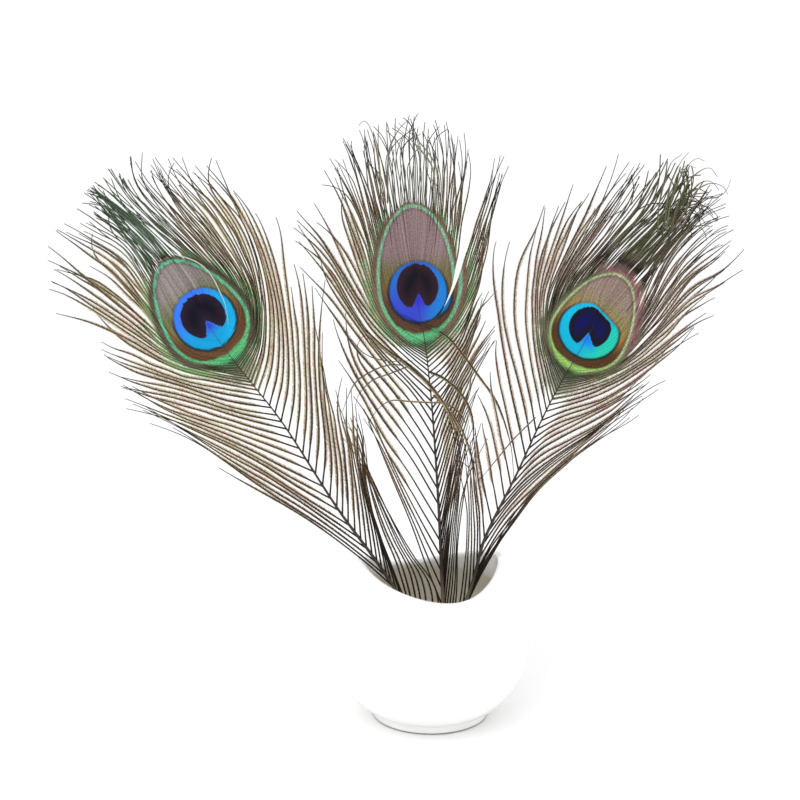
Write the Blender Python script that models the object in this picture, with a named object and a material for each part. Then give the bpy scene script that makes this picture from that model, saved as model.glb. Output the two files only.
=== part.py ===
"""Three peacock feathers standing in a round glazed vase with a wavy mouth.

Metres, +Z up. The origin is the centre of the vase's flat foot, and the feathers face -Y.
"""

from math import atan2, cos, pi, radians, sin

import bmesh
import bpy
from mathutils import Vector

MM = 0.001

# Vase
BOWL_RADIUS = 46.0 * MM
BOWL_CENTRE_Z = 34.5 * MM
BOWL_DEPTH = 39.0 * MM  # from the widest ring down to where the curve would close
WALL = 3.7 * MM
FOOT_RADIUS = 27.5 * MM
FOOT_CHAMFER = 1.2 * MM
FOOT_TOP_Z = 4.4 * MM
INNER_FLOOR_Z = 6.0 * MM
COLLAR_RADIUS = 35.0 * MM  # outside of the upright collar below the lip
LIP_Z = 69.5 * MM  # where the round lip starts, halfway between its dips and its peaks
SHOULDER_Z = 60.0 * MM  # the mouth's wave dies away down to here
WAVE_FADE = 1.5  # power of that fade
WAVE_HEIGHT = 4.7 * MM
DIP_TURN = radians(18.0)  # how far the front dip is turned from -Y towards +X
VASE_STEPS = 52

# Feathers
QUILL_RADIUS = 1.1 * MM
SHAFT_TIP_RADIUS = 0.22 * MM
SHAFT_POINTS = 18
VANE_THICKNESS = 0.8 * MM
VANE_GAP = 0.45 * MM  # between a vane and its shaft, and between the two vanes past the shaft
VANE_COLUMNS = 8  # points along a barb
ROWS_PER_GUIDE = 2
CAMBER = 3.0 * MM  # how far the outer edge of a vane turns back

# Each feather is drawn in its own upright plane, in millimetres seen from the front: x to the
# right, z up. depth is that plane's y at the mouth of the vase, and lean is how far it goes back
# for each unit of height. A guide barb is the height of its root on the shaft, then the points
# that it passes on the way to its tip, from the lowest barb to the highest. The crown is the line
# past the end of the shaft where the left and right barbs meet.
MOUTH_Z = 70.0
FEATHERS = {
    "left_feather": {
        "depth": -8.0,
        "lean": -0.02,
        "shaft": [(18, 9), (-21, 71), (-43, 103), (-66, 141), (-79, 159), (-91, 175), (-101, 190), (-107, 203)],
        "crown": [(-115, 217), (-128, 232), (-142, 243), (-155, 249)],
        "left_barbs": [
            (69, (-33, 81), (-56, 96), (-92, 120), (-130, 144)),
            (101, (-60, 112), (-85, 128), (-112, 141), (-138, 152)),
            (131, (-80, 138), (-102, 145), (-124, 153), (-145, 162)),
            (150, (-92, 155), (-114, 161), (-135, 168), (-153, 177)),
            (163, (-100, 167), (-120, 174), (-140, 184), (-163, 193)),
            (171, (-105, 173), (-122, 184), (-146, 201), (-177, 213)),
            (177, (-108, 179), (-123, 196), (-146, 214), (-174, 225)),
            (184, (-111, 189), (-123, 206), (-139, 224), (-163, 239)),
        ],
        "right_barbs": [
            (72, (-25, 92), (-30, 115), (-33, 134), (-40, 150)),
            (92, (-36, 110), (-38, 130), (-43, 150), (-48, 168)),
            (112, (-47, 132), (-49, 158), (-50, 186), (-51, 212)),
            (131, (-58, 152), (-58, 176), (-59, 202), (-62, 224)),
            (148, (-67, 166), (-67, 190), (-71, 218), (-78, 242)),
            (163, (-76, 182), (-77, 205), (-82, 228), (-93, 258)),
            (173, (-82, 190), (-85, 209), (-96, 234), (-112, 259)),
            (184, (-92, 198), (-99, 214), (-113, 233), (-133, 264)),
        ],
    },
    "middle_feather": {
        "depth": 6.0,
        "lean": 0.06,
        "shaft": [(8, 9), (6, 54), (4, 96), (1, 141), (-1, 162), (-3, 178), (-6, 194), (-8, 212)],
        "crown": [(-8, 230), (-9, 247), (-10, 264), (-11, 281)],
        "left_barbs": [
            (66, (-3, 84), (-12, 104), (-22, 125), (-31, 142)),
            (92, (-8, 112), (-20, 130), (-34, 152), (-50, 178)),
            (115, (-9, 135), (-24, 155), (-38, 175), (-52, 193)),
            (137, (-9, 152), (-23, 168), (-40, 188), (-60, 210)),
            (155, (-13, 166), (-29, 183), (-45, 206), (-67, 233)),
            (170, (-14, 179), (-26, 197), (-38, 225), (-52, 255)),
            (181, (-15, 189), (-23, 210), (-29, 240), (-38, 271)),
            (192, (-12, 207), (-14, 227), (-17, 252), (-23, 277)),
        ],
        "right_barbs": [
            (62, (8, 82), (11, 104), (14, 126), (17, 145)),
            (90, (9, 112), (13, 134), (18, 152), (24, 168)),
            (115, (8, 135), (14, 152), (21, 168), (32, 185)),
            (140, (7, 153), (14, 167), (21, 184), (30, 203)),
            (160, (7, 169), (16, 186), (24, 209), (31, 233)),
            (172, (8, 182), (18, 202), (25, 230), (32, 264)),
            (182, (5, 192), (11, 212), (15, 239), (15, 268)),
            (192, (-1, 207), (1, 227), (2, 252), (1, 278)),
        ],
    },
    "right_feather": {
        "depth": -2.0,
        "lean": 0.02,
        "shaft": [(-2, 9), (18, 60), (25, 86), (39, 116), (49, 139), (57, 156), (67, 174), (74, 187), (80, 199)],
        "crown": [(88, 213), (98, 226), (108, 240), (119, 258)],
        "left_barbs": [
            (70, (20, 88), (18, 108), (17, 130), (18, 148)),
            (95, (26, 112), (23, 130), (21, 147), (20, 165)),
            (115, (35, 132), (31, 150), (28, 168), (25, 187)),
            (130, (41, 148), (36, 170), (31, 196), (34, 222)),
            (142, (46, 160), (42, 182), (42, 213), (43, 252)),
            (155, (52, 169), (49, 189), (53, 217), (64, 254)),
            (165, (56, 178), (56, 197), (68, 223), (92, 263)),
            (176, (64, 191), (72, 207), (88, 229), (105, 260)),
        ],
        "right_barbs": [
            (66, (31, 86), (46, 106), (66, 128), (90, 149)),
            (105, (48, 119), (64, 133), (84, 146), (112, 161)),
            (130, (60, 138), (76, 147), (92, 157), (110, 168)),
            (146, (68, 152), (86, 161), (104, 173), (126, 185)),
            (157, (74, 162), (92, 171), (112, 187), (133, 205)),
            (166, (78, 168), (93, 181), (113, 204), (141, 224)),
            (174, (81, 181), (93, 200), (111, 226), (136, 240)),
            (183, (83, 195), (94, 213), (109, 235), (128, 253)),
        ],
    },
}

GLAZE = ((0.93, 0.93, 0.92), 0.12)
QUILL = ((0.05, 0.035, 0.025), 0.45)
BARBS = ((0.18, 0.15, 0.08), 0.6)


def clear_scene():
    for obj in list(bpy.data.objects):
        bpy.data.objects.remove(obj)


def make_material(name, colour, roughness):
    material = bpy.data.materials.new(name)
    material.use_nodes = True
    shader = material.node_tree.nodes["Principled BSDF"]
    shader.inputs["Base Color"].default_value = (*colour, 1.0)
    shader.inputs["Roughness"].default_value = roughness
    shader.inputs["Metallic"].default_value = 0.0
    return material


def add_object(name, data, material):
    obj = bpy.data.objects.new(name, data)
    obj.data.materials.append(material)
    bpy.context.scene.collection.objects.link(obj)
    return obj


def through(points, place):
    """The point at place, from 0 to 1, on the Catmull-Rom curve through points."""
    spans = len(points) - 1
    place = min(max(place, 0.0), 1.0) * spans
    first = min(int(place), spans - 1)
    t = place - first
    b, c = points[first], points[first + 1]
    a = points[first - 1] if first else b * 2.0 - c
    d = points[first + 2] if first + 2 <= spans else c * 2.0 - b
    bend = (a * 2.0 - b * 5.0 + c * 4.0 - d) * (t * t)
    twist = (b * 3.0 - a - c * 3.0 + d) * (t * t * t)
    return (b * 2.0 + (c - a) * t + bend + twist) * 0.5


def bowl_arc(radius, depth, height, first, last, count):
    """Points (r, z) on the bowl's curve, from one angle to another above the widest ring."""
    points = []
    for i in range(count):
        angle = radians(first + (last - first) * i / (count - 1))
        rise = depth if angle < 0 else height
        points.append((radius * cos(angle), BOWL_CENTRE_Z + rise * sin(angle)))
    return points


def vase_profile():
    """The wall's outline from the middle of the foot, out and up over the lip and down inside."""
    inner_radius = BOWL_RADIUS - WALL
    foot_flat = FOOT_RADIUS - FOOT_CHAMFER
    lip_radius = 0.5 * WALL
    lip_middle = COLLAR_RADIUS - lip_radius
    inner_collar = COLLAR_RADIUS - WALL
    outline = [(0.0, 0.0), (foot_flat, 0.0), (FOOT_RADIUS, FOOT_CHAMFER)]
    outline += [(FOOT_RADIUS - 0.3 * MM, FOOT_TOP_Z - 1.0 * MM), (FOOT_RADIUS + 0.7 * MM, FOOT_TOP_Z)]
    outline += bowl_arc(BOWL_RADIUS, BOWL_DEPTH, BOWL_RADIUS, -47.0, 38.0, 13)
    outline += [(COLLAR_RADIUS + 0.4 * MM, LIP_Z - 3.5 * MM)]
    for i in range(6):
        angle = pi * i / 5.0
        outline.append((lip_middle + lip_radius * cos(angle), LIP_Z + lip_radius * sin(angle)))
    outline += [(inner_collar + 0.3 * MM, LIP_Z - 3.5 * MM)]
    outline += bowl_arc(inner_radius, BOWL_DEPTH - WALL, inner_radius, 39.0, -45.0, 10)
    outline += [(22.0 * MM, INNER_FLOOR_Z + 0.5 * MM), (14.0 * MM, INNER_FLOOR_Z), (0.0, INNER_FLOOR_Z)]
    return outline


def mouth_wave(x, y):
    """How far the lip stands above its mean height in this direction."""
    turn = atan2(y, x) + 0.5 * pi - DIP_TURN
    return -WAVE_HEIGHT * cos(2.0 * turn)


def build_vase():
    mesh = bpy.data.meshes.new("vase")
    bm = bmesh.new()
    corners = [bm.verts.new((r, 0.0, z)) for r, z in vase_profile()]
    edges = [bm.edges.new(pair) for pair in zip(corners, corners[1:])]
    bmesh.ops.spin(
        bm,
        geom=corners + edges,
        cent=(0, 0, 0),
        axis=(0, 0, 1),
        angle=2.0 * pi,
        steps=VASE_STEPS,
        use_duplicate=False,
    )
    bmesh.ops.remove_doubles(bm, verts=bm.verts, dist=0.01 * MM)
    bmesh.ops.recalc_face_normals(bm, faces=bm.faces)
    for vert in bm.verts:
        share = min(max((vert.co.z - SHOULDER_Z) / (LIP_Z - SHOULDER_Z), 0.0), 1.0)
        vert.co.z += share**WAVE_FADE * mouth_wave(vert.co.x, vert.co.y)
    bm.to_mesh(mesh)
    bm.free()
    mesh.shade_smooth()
    mesh.set_sharp_from_angle(angle=radians(50.0))
    return add_object("vase", mesh, make_material("vase_glaze", *GLAZE))


def plane_point(feather, x, z, back=0.0):
    """A point of the feather's own plane, x and z in millimetres, as a place in the scene."""
    depth = feather["depth"] + feather["lean"] * (z - MOUTH_Z)
    return Vector((x * MM, depth * MM + back, z * MM))


def shaft_place(feather, z):
    """The place along the shaft, from 0 to 1, where it reaches the height z."""
    points = [Vector(p) for p in feather["shaft"]]
    low, high = 0.0, 1.0
    for _ in range(30):
        middle = 0.5 * (low + high)
        if through(points, middle).y < z:
            low = middle
        else:
            high = middle
    return low


def shaft_radius(place):
    return QUILL_RADIUS + (SHAFT_TIP_RADIUS - QUILL_RADIUS) * place


def beside_shaft(feather, z, side):
    """The point beside the shaft at the height z where a barb of the vane on that side starts."""
    points = [Vector(p) for p in feather["shaft"]]
    place = shaft_place(feather, z)
    along = (through(points, place + 0.005) - through(points, place - 0.005)).normalized()
    across = Vector((along.y, -along.x)) * side
    return through(points, place) + across * (shaft_radius(place) + VANE_GAP) / MM


def build_shaft(name, feather, material):
    points = [Vector(p) for p in feather["shaft"]]
    curve = bpy.data.curves.new(name, "CURVE")
    curve.dimensions = "3D"
    curve.bevel_depth = 1.0
    curve.bevel_resolution = 2
    curve.use_fill_caps = True
    spline = curve.splines.new("POLY")
    spline.points.add(SHAFT_POINTS - 1)
    for i, knot in enumerate(spline.points):
        place = i / (SHAFT_POINTS - 1)
        at = through(points, place)
        knot.co = (*plane_point(feather, at.x, at.y), 1.0)
        knot.radius = shaft_radius(place)
    spline.use_smooth = True
    return add_object(name + "_shaft", curve, material)


def guide_curves(feather, side):
    """Each guide barb of one vane as its points, from the root outwards, and the crown last."""
    guides = []
    for root, *points in feather["left_barbs" if side < 0 else "right_barbs"]:
        guides.append((root, [Vector(p) for p in points]))
    top = feather["shaft"][-1][1]
    nudge = 0.5 * VANE_GAP / MM * side
    crown = [Vector((x + nudge, z)) for x, z in feather["crown"]]
    guides.append((top, crown))
    return guides


def vane_rows(feather, side):
    """The vane's points, row by row: a row runs along one barb, from the shaft to its tip."""
    guides = guide_curves(feather, side)
    spans = len(guides) - 1
    roots = [Vector((root, 0.0)) for root, _ in guides]
    rows = []
    for i in range(spans * ROWS_PER_GUIDE + 1):
        place = i / (spans * ROWS_PER_GUIDE)
        start = beside_shaft(feather, through(roots, place).x, side)
        barb = [start]
        for k in range(len(guides[0][1])):
            barb.append(through([points[k] for _, points in guides], place))
        row = []
        for j in range(VANE_COLUMNS):
            out = j / (VANE_COLUMNS - 1)
            at = through(barb, out)
            row.append(plane_point(feather, at.x, at.y, CAMBER * out * out))
        rows.append(row)
    return rows


def build_vane(name, feather, side, material):
    mesh = bpy.data.meshes.new(name)
    bm = bmesh.new()
    grid = [[bm.verts.new(point) for point in row] for row in vane_rows(feather, side)]
    for low, high in zip(grid, grid[1:]):
        for i in range(VANE_COLUMNS - 1):
            bm.faces.new((low[i], low[i + 1], high[i + 1], high[i]))
    bmesh.ops.recalc_face_normals(bm, faces=bm.faces)
    bm.to_mesh(mesh)
    bm.free()
    mesh.shade_smooth()
    obj = add_object(name, mesh, material)
    sheet = obj.modifiers.new("thickness", "SOLIDIFY")
    sheet.thickness = VANE_THICKNESS
    sheet.offset = 0.0
    return obj


def main():
    clear_scene()
    build_vase()
    quill = make_material("quill", *QUILL)
    barbs = make_material("barbs", *BARBS)
    for name, feather in FEATHERS.items():
        build_shaft(name, feather, quill)
        build_vane(name + "_left_vane", feather, -1, barbs)
        build_vane(name + "_right_vane", feather, 1, barbs)


main()
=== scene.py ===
import math

import bpy
import numpy as np
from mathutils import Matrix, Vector


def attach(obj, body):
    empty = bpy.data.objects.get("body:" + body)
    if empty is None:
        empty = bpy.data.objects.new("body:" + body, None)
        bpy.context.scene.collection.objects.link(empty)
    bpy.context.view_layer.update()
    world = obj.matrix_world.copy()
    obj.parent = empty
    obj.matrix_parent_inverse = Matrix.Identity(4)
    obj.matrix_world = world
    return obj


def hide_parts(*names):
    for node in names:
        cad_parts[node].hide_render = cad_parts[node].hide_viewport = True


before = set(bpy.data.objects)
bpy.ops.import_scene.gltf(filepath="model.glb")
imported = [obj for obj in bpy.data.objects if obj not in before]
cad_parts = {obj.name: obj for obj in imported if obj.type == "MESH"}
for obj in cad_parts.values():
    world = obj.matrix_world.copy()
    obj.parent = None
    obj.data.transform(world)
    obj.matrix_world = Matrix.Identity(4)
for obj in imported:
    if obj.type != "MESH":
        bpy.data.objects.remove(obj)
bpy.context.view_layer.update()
mm = 0.001
print("frame loaded:", len(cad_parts), "nodes")


def maths(operation, swapped=False):
    # an operator between two wires, or a wire and a number
    def act(wire, other):
        pair = (other, wire) if swapped else (wire, other)
        return wire.finish.sum(operation, *pair)
    return act


class Wire:
    # a node's output that can be added, multiplied and so on
    def __init__(self, finish, socket):
        self.finish = finish
        self.socket = socket

    def __neg__(self):
        return self * -1.0

    __add__ = maths("ADD")
    __radd__ = maths("ADD", True)
    __sub__ = maths("SUBTRACT")
    __rsub__ = maths("SUBTRACT", True)
    __mul__ = maths("MULTIPLY")
    __rmul__ = maths("MULTIPLY", True)
    __truediv__ = maths("DIVIDE")
    __rtruediv__ = maths("DIVIDE", True)


class Finish:
    # one material and the ways to add nodes to it
    def __init__(self, name):
        self.material = bpy.data.materials.new(name)
        self.material.use_nodes = True
        self.tree = self.material.node_tree
        self.shader = self.tree.nodes["Principled BSDF"]

    def node(self, kind, settings=None, inputs=None, output=0):
        made = self.tree.nodes.new(kind)
        for key, value in (settings or {}).items():
            setattr(made, key, value)
        for key, value in (inputs or {}).items():
            self.plug(value, made.inputs[key])
        return Wire(self, made.outputs[output])

    def plug(self, value, socket):
        if isinstance(value, Wire):
            self.tree.links.new(value.socket, socket)
        else:
            socket.default_value = value

    def sum(self, operation, *values):
        inputs = {i: value for i, value in enumerate(values)}
        return self.node("ShaderNodeMath", {"operation": operation}, inputs)

    def step(self, value, low, high):
        # 0 below low, 1 above high and smooth between them
        inputs = {"Value": value, "From Min": low, "From Max": high}
        return self.node("ShaderNodeMapRange", {"interpolation_type": "SMOOTHSTEP"}, inputs)

    def mix(self, share, first, second):
        # the sockets of a colour mix, which has others for numbers and vectors
        inputs = {0: share, 6: first, 7: second}
        return self.node("ShaderNodeMix", {"data_type": "RGBA"}, inputs, 2)

    def brighten(self, colour, factor):
        # a colour times a number that varies
        combined = self.node("ShaderNodeCombineXYZ", None, {0: factor, 1: factor, 2: factor})
        if not isinstance(colour, Wire):
            colour = colour[:3]
        return self.node("ShaderNodeVectorMath", {"operation": "MULTIPLY"}, {0: colour, 1: combined})

    def noise(self, vector, scale, detail=2.0):
        inputs = {"Vector": vector, "Scale": scale, "Detail": detail}
        return self.node("ShaderNodeTexNoise", None, inputs)

    def split(self, vector):
        first = self.node("ShaderNodeSeparateXYZ", None, {0: vector})
        return [Wire(self, output) for output in first.socket.node.outputs]

    def join(self, x, y, z=0.0):
        return self.node("ShaderNodeCombineXYZ", None, {0: x, 1: y, 2: z})

    def attribute(self, name):
        return self.node("ShaderNodeAttribute", {"attribute_name": name}, None, "Vector")

    def set(self, **values):
        for key, value in values.items():
            self.plug(value, self.shader.inputs[key.replace("_", " ")])


def paint(red, green, blue):
    # screen values 0 to 255 as a colour for a shader
    def line(value):
        share = value / 255.0
        return share / 12.92 if share <= 0.04045 else ((share + 0.055) / 1.055) ** 2.4
    return (line(red), line(green), line(blue), 1.0)


def deselectAll():
    bpy.ops.object.select_all(action="DESELECT")


def select(piece):
    deselectAll()
    piece.select_set(True)
    bpy.context.view_layer.objects.active = piece


vase = {
    "bowlRadius": 46.0, "bowlMiddle": 34.5, "bowlDepth": 39.0, "wall": 3.7,
    "footRadius": 27.5, "footTop": 4.4, "floorHeight": 6.0,
    "collarRadius": 35.0, "lipHeight": 69.5, "shoulderHeight": 60.0,
    "waveHeight": 6.1, "waveFade": 1.5, "frontDipTurn": 19.0, "dipSkew": 0.26,
    # the height of the line inside the vase below which shade is painted
    "paintedShadeHeight": 62.2, "steps": 160,
    "white": (247, 247, 245), "whiteCloud": (252, 252, 251),
    # painted shade: the warm greys of the inside below that line
    "paintedShadeTone": (238, 234, 222), "paintedShadeCloud": (246, 242, 232),
    # the bare clay of the foot's rim, painted dark to stand in for the contact shadow under the foot
    "clayWithContactShadow": (120, 112, 94), "clayWithContactShadowLight": (146, 138, 118),
    "cloudScale": 38.0, "speckScale": 900.0, "rippleScale": 55.0,
    "roughness": 0.12, "clayRoughness": 0.5, "coat": 0.35, "coatRoughness": 0.05,
    "rippleStrength": 0.12, "rippleDepth": 0.6,
}


def bowlArc(radius, depth, height, first, last, count):
    angles = np.radians(np.linspace(first, last, count))
    rises = np.where(angles < 0.0, depth, height)
    return [(radius * math.cos(a), vase["bowlMiddle"] + rise * math.sin(a)) for a, rise in zip(angles, rises)]


def vaseOutline():
    # from the middle of the foot, out and up over the lip and down inside
    wall, foot, bowl = vase["wall"], vase["footRadius"], vase["bowlRadius"]
    depth, collar, lip = vase["bowlDepth"], vase["collarRadius"], vase["lipHeight"]
    floor = vase["floorHeight"]
    lipRadius = wall / 2.0
    lipMiddle = collar - lipRadius
    outline = [(0.0, 0.9), (foot - 5.5, 0.9), (foot - 4.3, 0.5), (foot - 3.6, 0.0), (foot - 1.2, 0.0)]
    outline += [(foot - 0.45, 0.3), (foot - 0.1, 1.1), (foot - 0.2, 2.6), (foot, 3.6)]
    outline += [(foot + 0.7, vase["footTop"])]
    outline += bowlArc(bowl, depth, bowl, -47.0, 38.0, 40)
    outline += [(collar + 0.4, lip - 3.5), (collar + 0.1, lip - 1.5)]
    for angle in np.linspace(0.0, math.pi, 13):
        outline.append((lipMiddle + lipRadius * math.cos(angle), lip + lipRadius * math.sin(angle)))
    outline += [(collar - wall + 0.1, lip - 2.0), (collar - wall + 0.3, lip - 3.5)]
    outline += bowlArc(bowl - wall, depth - wall, bowl - wall, 39.0, -45.0, 34)
    outline += [(26.0, 7.6), (22.0, floor + 0.5), (14.0, floor), (0.0, floor)]
    return outline


def mouthWave(x, y):
    # the front dip rises faster on its right than on its left
    turn = math.atan2(y, x) + math.pi / 2.0 - math.radians(vase["frontDipTurn"])
    turn += vase["dipSkew"] * math.sin(turn) ** 2
    return -vase["waveHeight"] * math.cos(2.0 * turn)


def buildVase():
    mesh = bpy.data.meshes.new("glazedVase")
    points = [(r * mm, 0.0, z * mm) for r, z in vaseOutline()]
    mesh.from_pydata(points, [(i, i + 1) for i in range(len(points) - 1)], [])
    piece = bpy.data.objects.new("glazedVase", mesh)
    bpy.context.scene.collection.objects.link(piece)
    select(piece)
    bpy.ops.object.mode_set(mode="EDIT")
    bpy.ops.mesh.select_all(action="SELECT")
    bpy.ops.mesh.spin(steps=vase["steps"], angle=2.0 * math.pi, center=(0, 0, 0), axis=(0, 0, 1))
    bpy.ops.mesh.select_all(action="SELECT")
    bpy.ops.mesh.remove_doubles(threshold=0.00001)
    bpy.ops.mesh.normals_make_consistent(inside=False)
    bpy.ops.object.mode_set(mode="OBJECT")
    for vert in mesh.vertices:
        share = (vert.co.z / mm - vase["shoulderHeight"]) / (vase["lipHeight"] - vase["shoulderHeight"])
        share = min(max(share, 0.0), 1.0)
        vert.co.z += share ** vase["waveFade"] * mouthWave(vert.co.x, vert.co.y) * mm
    bpy.ops.object.shade_smooth()
    return piece


def glazeFinish():
    glaze = Finish("whiteGlaze")
    place = glaze.node("ShaderNodeTexCoord", None, None, "Object")
    x, y, z = glaze.split(place)
    cloud = glaze.noise(place, vase["cloudScale"], 3.0)
    speck = glaze.noise(place, vase["speckScale"], 1.0)
    clouded = glaze.step(cloud, 0.35, 0.7)
    white = glaze.mix(clouded, paint(*vase["white"]), paint(*vase["whiteCloud"]))
    # painted shade: the inside is painted a warm grey below a line near the lip, standing in for the shade on
    # the inner wall
    drop = z - vase["bowlMiddle"] * mm
    stretch = 1.0 + glaze.step(-drop, -0.1 * mm, 0.1 * mm) * (vase["bowlRadius"] / vase["bowlDepth"] - 1.0)
    fromMiddle = glaze.sum("SQRT", x * x + y * y + drop * drop * stretch * stretch)
    wallMiddle = (vase["bowlRadius"] - 0.5 * vase["wall"]) * mm
    inside = 1.0 - glaze.step(fromMiddle, wallMiddle - 0.4 * mm, wallMiddle + 0.4 * mm)
    paintedShadeTop = vase["paintedShadeHeight"] * mm
    paintedShadeShare = inside * (1.0 - glaze.step(z, paintedShadeTop - 0.3 * mm, paintedShadeTop + 0.3 * mm))
    paintedShadeTone = glaze.mix(clouded, paint(*vase["paintedShadeTone"]), paint(*vase["paintedShadeCloud"]))
    white = glaze.mix(paintedShadeShare, white, paintedShadeTone)
    # the bare clay on the foot's rim, painted dark to stand in for the contact shadow under the foot
    bare = 1.0 - glaze.step(z, 0.3 * mm, mm)
    clayWithContactShadow = glaze.mix(glaze.step(speck, 0.4, 0.7), paint(*vase["clayWithContactShadow"]), paint(*vase["clayWithContactShadowLight"]))
    glaze.set(Base_Color=glaze.mix(bare, white, clayWithContactShadow))
    glaze.set(Roughness=vase["roughness"] + vase["clayRoughness"] * bare)
    glaze.set(Coat_Weight=vase["coat"] * (1.0 - bare), Coat_Roughness=vase["coatRoughness"])
    ripple = glaze.noise(place, vase["rippleScale"], 2.0) + 0.15 * speck * bare
    depth = {"Strength": vase["rippleStrength"], "Distance": vase["rippleDepth"] * mm}
    glaze.set(Normal=glaze.node("ShaderNodeBump", None, {**depth, "Height": ripple}))
    return glaze.material


# Each feather lies in its own upright plane. Places in it are millimetres seen from the front:
# across to the right, then up. depth is the plane's distance behind the vase's axis at the mouth,
# and lean is how far it goes back for each unit of height. A guide barb is a list of places from
# its root on the shaft to its tip; the real barbs are drawn between neighbouring guides, and the
# last guide of both vanes is the feather's end. None is a parting that no barb grows in.
mouthHeight = 70.0


def loneBarb(front, thick, *line, pale=False):
    # a stray barb that bows out this far in front of the others
    return {"front": front, "thick": thick, "line": line, "pale": pale}


leftFeather = {
    "name": "left_feather", "depth": -8.0, "lean": -0.02, "seed": 11,
    "shaft": [(18, 9), (-21, 71), (-43, 103), (-66, 141), (-79, 159), (-91, 175), (-101, 190), (-107, 203)],
    "leftGuides": [
        [(-17, 64), (-32, 78), (-55, 96), (-85, 115), (-108, 131), (-128, 141)],
        [(-21, 71), (-34, 82), (-52, 96), (-82, 116), (-110, 136), (-132, 147)],
        [(-42, 101), (-60, 112), (-85, 128), (-112, 141), (-138, 152)],
        [(-60, 131), (-80, 138), (-102, 145), (-124, 152), (-143, 161)],
        [(-72, 148), (-90, 151), (-110, 158), (-130, 163), (-147, 171)],
        [(-79, 158), (-95, 161), (-115, 165), (-135, 173), (-152, 181), (-158, 188)],
        [(-84, 165), (-100, 168), (-118, 174), (-135, 186), (-150, 196), (-165, 205), (-174, 208)],
        [(-88, 171), (-103, 171), (-117, 179), (-130, 193), (-147, 208), (-165, 220), (-173, 225)],
        [(-91, 175), (-105, 175), (-118, 187), (-125, 203), (-135, 220), (-150, 230), (-163, 238)],
        [(-95, 181), (-108, 184), (-118, 200), (-125, 215), (-137, 232), (-150, 245)],
        [(-100, 190), (-110, 200), (-118, 212), (-130, 226), (-144, 240), (-153, 248)],
    ],
    "rightGuides": [
        [(4, 32), (3, 62), (-8, 80), (-18, 98), (-28, 118), (-38, 142)],
        [(-12, 56), (-19, 76), (-25, 94), (-30, 115), (-32, 135), (-38, 148)],
        [(-22, 72), (-25, 90), (-31, 115), (-32, 135), (-38, 148)],
        [(-34, 90), (-35, 110), (-37, 130), (-42, 148), (-47, 165)],
        [(-42, 102), (-42, 120), (-45, 145), (-49, 165), (-50, 185)],
        [(-48, 112), (-47, 130), (-50, 160), (-50, 190), (-51, 210)],
        [(-54, 121), (-52, 140), (-53, 165), (-53, 190), (-53, 215)],
        [(-60, 131), (-58, 150), (-58, 175), (-59, 205), (-62, 224)],
        [(-68, 142), (-64, 160), (-64, 185), (-67, 210), (-72, 232), (-78, 242)],
        [(-76, 153), (-71, 170), (-70, 195), (-75, 220), (-84, 243), (-93, 258)],
        [(-83, 163), (-77, 180), (-76, 203), (-81, 225), (-90, 242), (-104, 262)],
        [(-88, 171), (-79, 184), (-79, 202), (-86, 220), (-97, 238), (-112, 255), (-118, 262)],
        [(-91, 175), (-82, 187), (-82, 202), (-90, 217), (-102, 233), (-117, 250), (-128, 262)],
        [(-95, 181), (-88, 195), (-92, 208), (-103, 221), (-118, 236), (-130, 250), (-133, 264)],
        [(-98, 186), (-97, 202), (-103, 214), (-115, 225), (-128, 236), (-140, 250), (-147, 258)],
        [(-101, 191), (-107, 205), (-115, 217), (-127, 231), (-140, 243), (-148, 253)],
    ],
    "endGuide": [(-107, 203), (-115, 217), (-128, 232), (-142, 243), (-155, 249)],
    "leftPitch": [(14, 0.0), (22, 0.9), (30, 1.5), (38, 2.8), (50, 3.6), (62, 5.0), (80, 6.5), (120, 6.5)],
    "rightPitch": [(14, 0.0), (22, 1.0), (30, 1.8), (38, 3.2), (55, 4.8), (85, 4.8), (100, 3.8), (160, 3.4)],
    "bareRoot": {"left": 4.0, "right": 4.0},
    "crownPitch": 1.0, "tuft": 0.6,
    "terminalCurl": (0.5, -35.0, 35.0),
    "strays": {
        "left": [],
        "right": [
            loneBarb(0.9, 0.6, (-114, 220), (-104.4, 216.7), (-98.2, 211.2), (-94.3, 203.4),
                     (-91.9, 197.2), (-90.7, 188.6), pale=True),
        ],
    },
    "eye": {
        "centre": (-101.3, 190.8), "turn": 35.0, "uneven": 0.9,
        "ringMiddle": (-0.3, 2.0), "ringHalf": 18.2, "ringUp": 28.4, "ringDown": 21.4, "ringTaper": 0.18,
        "ringWidth": 1.4, "blueHalf": (14.0, 14.1), "blueCut": 40.0, "blueCutTurn": 0.0,
        "heartMiddle": (0.2, 1.5), "heartHalf": (10.1, 10.2), "notch": (0.0, -0.4),
        "notchSpread": 31.0, "notchTurn": 0.0,
        "heartCore": (10, 8, 24), "heartEdge": (36, 24, 44), "notchColour": (56, 60, 220),
        "blueHigh": (58, 122, 236), "blueLow": (14, 160, 216), "azure": (20, 172, 226),
        "bronze": (102, 70, 46), "olive": (112, 118, 80), "mauve": (142, 132, 130), "gold": (124, 102, 60),
        "ring": (96, 190, 148), "ringLow": (92, 190, 122), "ringOut": (100, 92, 76),
        "green": (104, 190, 128), "moss": (140, 166, 100), "crown": (112, 148, 120),
        "barb": (204, 190, 152), "barbDark": (146, 128, 96), "barbRed": (184, 152, 122), "pinkSide": 0.0,
    },
}

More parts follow.
